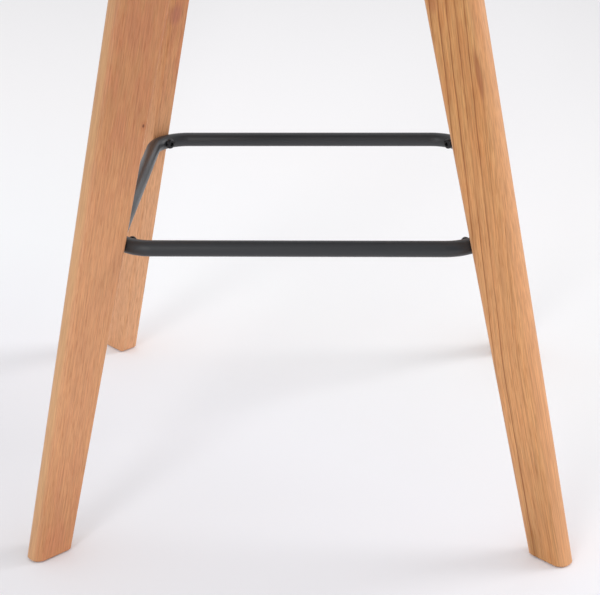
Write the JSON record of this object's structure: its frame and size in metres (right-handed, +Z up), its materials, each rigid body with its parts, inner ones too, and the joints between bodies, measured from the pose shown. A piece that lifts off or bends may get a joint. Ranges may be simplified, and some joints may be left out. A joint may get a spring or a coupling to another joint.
{
  "type": "bar stool",
  "caption": "Bar stool with splayed tapered oak legs set on the diagonals, a square black tube footrest inside them, and a moulded low-back bucket seat.",
  "frame": {"origin": "on the floor, under the middle of the four feet", "axes": "+Z up, -Y towards the front of the seat, +X to the sitter's left as they face -Y"},
  "size_m": [0.4928, 0.4928, 0.9338],
  "materials": {
    "oak": "solid oak, matt clear oil",
    "black_powder_coat": "matt black powder coat",
    "black_zinc_steel": "black zinc plated",
    "zinc_steel": "zinc plated",
    "insert_brass": "as machined",
    "spacer_rubber": "matt",
    "glide_plastic": "matt nylon",
    "seat_plastic": "fine matt moulded texture"
  },
  "bodies": {
    "root": {"leg_front_left": "oak", "leg_front_right": "oak", "leg_rear_right": "oak", "leg_rear_left": "oak", "floor_glides": "glide_plastic", "glide_nails": "zinc_steel", "footrest_ring": "black_powder_coat", "footrest_screws": "black_zinc_steel", "leg_inserts": "zinc_steel", "cross_channel": "black_powder_coat", "cross_arm_front": "black_powder_coat", "cross_arm_rear": "black_powder_coat", "mounting_plate": "black_powder_coat", "leg_bolts": "black_zinc_steel", "leg_washers": "black_zinc_steel", "leg_lock_nuts": "zinc_steel", "seat_spacers": "spacer_rubber", "seat_screws": "black_zinc_steel", "seat_inserts": "insert_brass", "seat_shell": "seat_plastic"}
  },
  "joints": []
}
